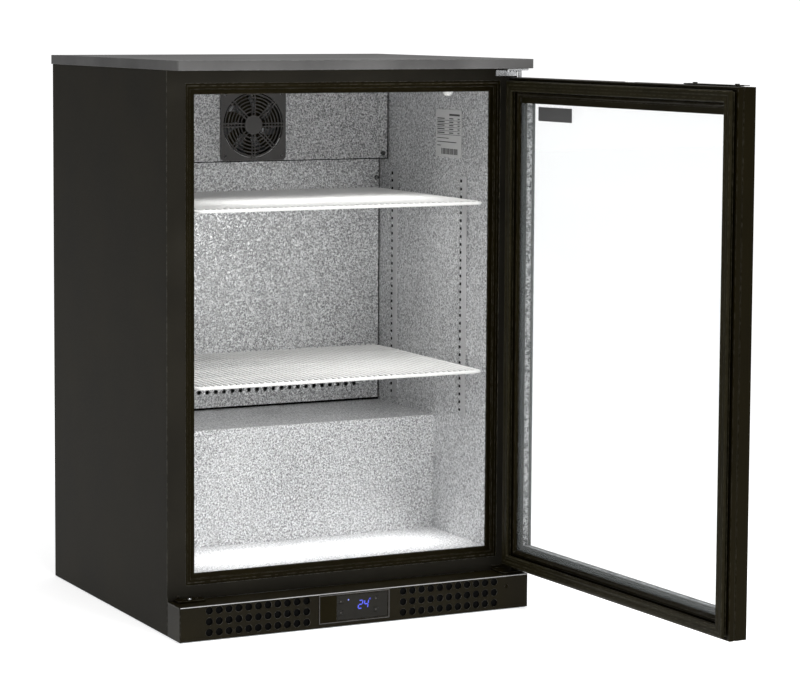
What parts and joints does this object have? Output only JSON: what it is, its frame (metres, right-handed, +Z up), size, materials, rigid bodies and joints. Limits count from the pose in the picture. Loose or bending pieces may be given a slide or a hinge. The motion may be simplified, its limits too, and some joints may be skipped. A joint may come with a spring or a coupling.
{
  "type": "undercounter refrigerator",
  "caption": "Free-standing undercounter bottle cooler with a hinged double-glazed door, wire shelves, fan evaporator, plinth grille and digital controls.",
  "frame": {"origin": "floor level, under the middle of the cabinet's footprint, on the flat underside of the base tray", "axes": "+X to the right seen from the front, +Y to the back, +Z up; the door is hung on the +X side and stands open towards -Y"},
  "size_m": [0.6285, 1.0942, 0.865],
  "materials": {
    "black_steel": "semi-matt black powder coat with a fine texture",
    "grey_steel": "dark grey powder coat with a fine texture",
    "galvanised": "plain galvanised sheet",
    "foam": "rigid polyurethane foam",
    "stucco_aluminium": "bright stucco-embossed aluminium sheet",
    "black_plastic": "satin moulded black plastic",
    "display": "dark glossy front film",
    "dark_grey_plastic": "moulded dark grey plastic",
    "aluminium": "plain mill-finish aluminium",
    "white_coating": "white plastic coating",
    "zinc": "bright zinc plate",
    "copper": "drawn copper tube",
    "rubber": "soft dark rubber",
    "glass": "clear double glazing"
  },
  "bodies": {
    "cabinet": {"worktop": "black_steel", "left_side_panel": "black_steel", "right_side_panel": "black_steel", "rear_panel": "galvanised", "rear_grille": "black_steel", "base_tray": "galvanised", "underside_panel": "galvanised", "insulation_foam": "foam", "inner_liner": "stucco_aluminium", "front_frame": "grey_steel", "breaker_frame": "black_plastic", "plinth_grille": "black_steel", "control_bezel": "black_plastic", "display_window": "display", "evaporator_cover": "stucco_aluminium", "fan_guard": "dark_grey_plastic", "evaporator_fan_frame": "black_plastic", "evaporator_coil": "aluminium", "drip_pan": "stucco_aluminium", "air_duct_panel": "stucco_aluminium", "interior_lamp": "white_coating", "front_left_pilaster": "stucco_aluminium", "upper_front_left_clip": "zinc", "lower_front_left_clip": "zinc", "rear_left_pilaster": "stucco_aluminium", "upper_rear_left_clip": "zinc", "lower_rear_left_clip": "zinc", "front_right_pilaster": "stucco_aluminium", "upper_front_right_clip": "zinc", "lower_front_right_clip": "zinc", "rear_right_pilaster": "stucco_aluminium", "upper_rear_right_clip": "zinc", "lower_rear_right_clip": "zinc", "compressor": "black_steel", "condenser_coil": "aluminium", "condenser_fan_frame": "black_plastic", "evaporation_tray": "dark_grey_plastic", "refrigerant_pipe": "copper", "drain_tube": "dark_grey_plastic", "power_inlet": "black_plastic", "top_hinge_bracket": "zinc", "bottom_hinge_bracket": "black_steel", "spare_hinge_pad": "black_plastic"},
    "evaporator_fan": {"evaporator_fan": "black_plastic"},
    "condenser_fan": {"condenser_fan": "aluminium"},
    "upper_shelf": {"upper_shelf": "white_coating"},
    "lower_shelf": {"lower_shelf": "white_coating"},
    "set_button": {"set_button": "display"},
    "lamp_button": {"lamp_button": "display"},
    "up_button": {"up_button": "display"},
    "down_button": {"down_button": "display"},
    "left_foot": {"left_levelling_foot": "rubber"},
    "right_foot": {"right_levelling_foot": "rubber"},
    "lock": {"lock_cylinder": "zinc"},
    "door": {"door_frame": "black_plastic", "outer_glass": "glass", "inner_glass": "glass", "glass_spacer": "aluminium", "door_gasket": "rubber", "lock_plate": "black_steel"}
  },
  "joints": [
    {"name": "door_hinge", "type": "hinge", "parent": "cabinet", "child": "door", "pos_m": [0.287, -0.2465, 0.45], "axis": [0, 0, 1], "range_deg": [-92.5, 22.5]},
    {"name": "lock_turn", "type": "hinge", "parent": "door", "child": "lock", "pos_m": [0.3192, -0.81213, 0.8225], "axis": [0.999, 0.0436, 0], "range_deg": [0, 90]},
    {"name": "evaporator_fan_spin", "type": "hinge", "parent": "cabinet", "child": "evaporator_fan", "pos_m": [0, 0.138, 0.7515], "axis": [0, 1, 0], "continuous": true},
    {"name": "condenser_fan_spin", "type": "hinge", "parent": "cabinet", "child": "condenser_fan", "pos_m": [0.12, 0.064, 0.117], "axis": [0, 1, 0], "continuous": true},
    {"name": "upper_shelf_lift", "type": "slide", "parent": "cabinet", "child": "upper_shelf", "axis": [0, 0, 1], "range_m": [0, 0.025]},
    {"name": "lower_shelf_lift", "type": "slide", "parent": "cabinet", "child": "lower_shelf", "axis": [0, 0, 1], "range_m": [0, 0.025]},
    {"name": "set_button_press", "type": "slide", "parent": "cabinet", "child": "set_button", "axis": [0, 1, 0], "range_m": [0, 0.0008], "stiffness_N_per_m": 800},
    {"name": "lamp_button_press", "type": "slide", "parent": "cabinet", "child": "lamp_button", "axis": [0, 1, 0], "range_m": [0, 0.0008], "stiffness_N_per_m": 800},
    {"name": "up_button_press", "type": "slide", "parent": "cabinet", "child": "up_button", "axis": [0, 1, 0], "range_m": [0, 0.0008], "stiffness_N_per_m": 800},
    {"name": "down_button_press", "type": "slide", "parent": "cabinet", "child": "down_button", "axis": [0, 1, 0], "range_m": [0, 0.0008], "stiffness_N_per_m": 800},
    {"name": "left_foot_screw", "type": "slide", "parent": "cabinet", "child": "left_foot", "axis": [0, 0, -1], "range_m": [0, 0.015]},
    {"name": "right_foot_screw", "type": "slide", "parent": "cabinet", "child": "right_foot", "axis": [0, 0, -1], "range_m": [0, 0.015]}
  ]
}
